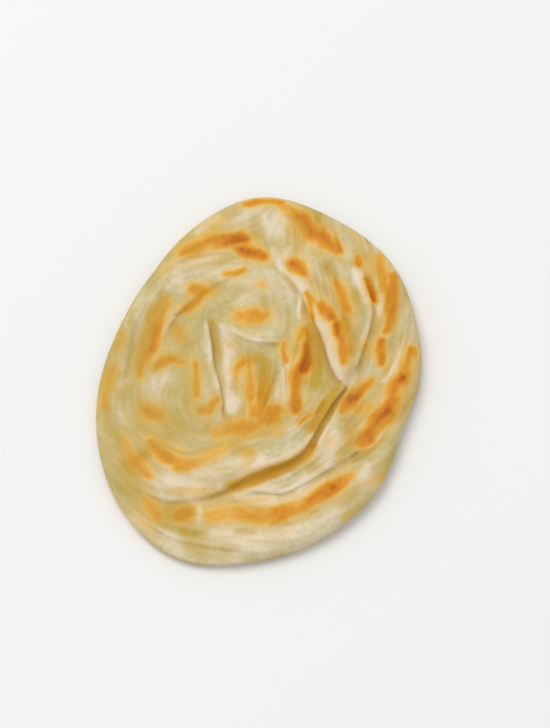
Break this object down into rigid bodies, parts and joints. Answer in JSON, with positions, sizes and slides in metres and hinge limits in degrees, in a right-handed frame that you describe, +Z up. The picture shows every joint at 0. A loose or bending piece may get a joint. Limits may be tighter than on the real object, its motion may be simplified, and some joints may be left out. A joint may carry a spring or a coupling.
{
  "type": "layered flatbread",
  "caption": "Layered flatbread: an oval round of pleated, coiled dough, flattened and toasted, with a rolled rim, overlapping folds and browned patches.",
  "frame": {"origin": "on the surface that the bread rests on, under the middle of its bounding box", "axes": "+Z up out of the folded top, +Y along the bread's long way, +X across it to the right"},
  "size_m": [0.15, 0.18, 0.0158],
  "materials": {
    "toasted_dough": "soft satin, lightly oiled, cream with golden-brown toasted patches"
  },
  "bodies": {
    "root": {"flatbread": "toasted_dough"}
  },
  "joints": []
}
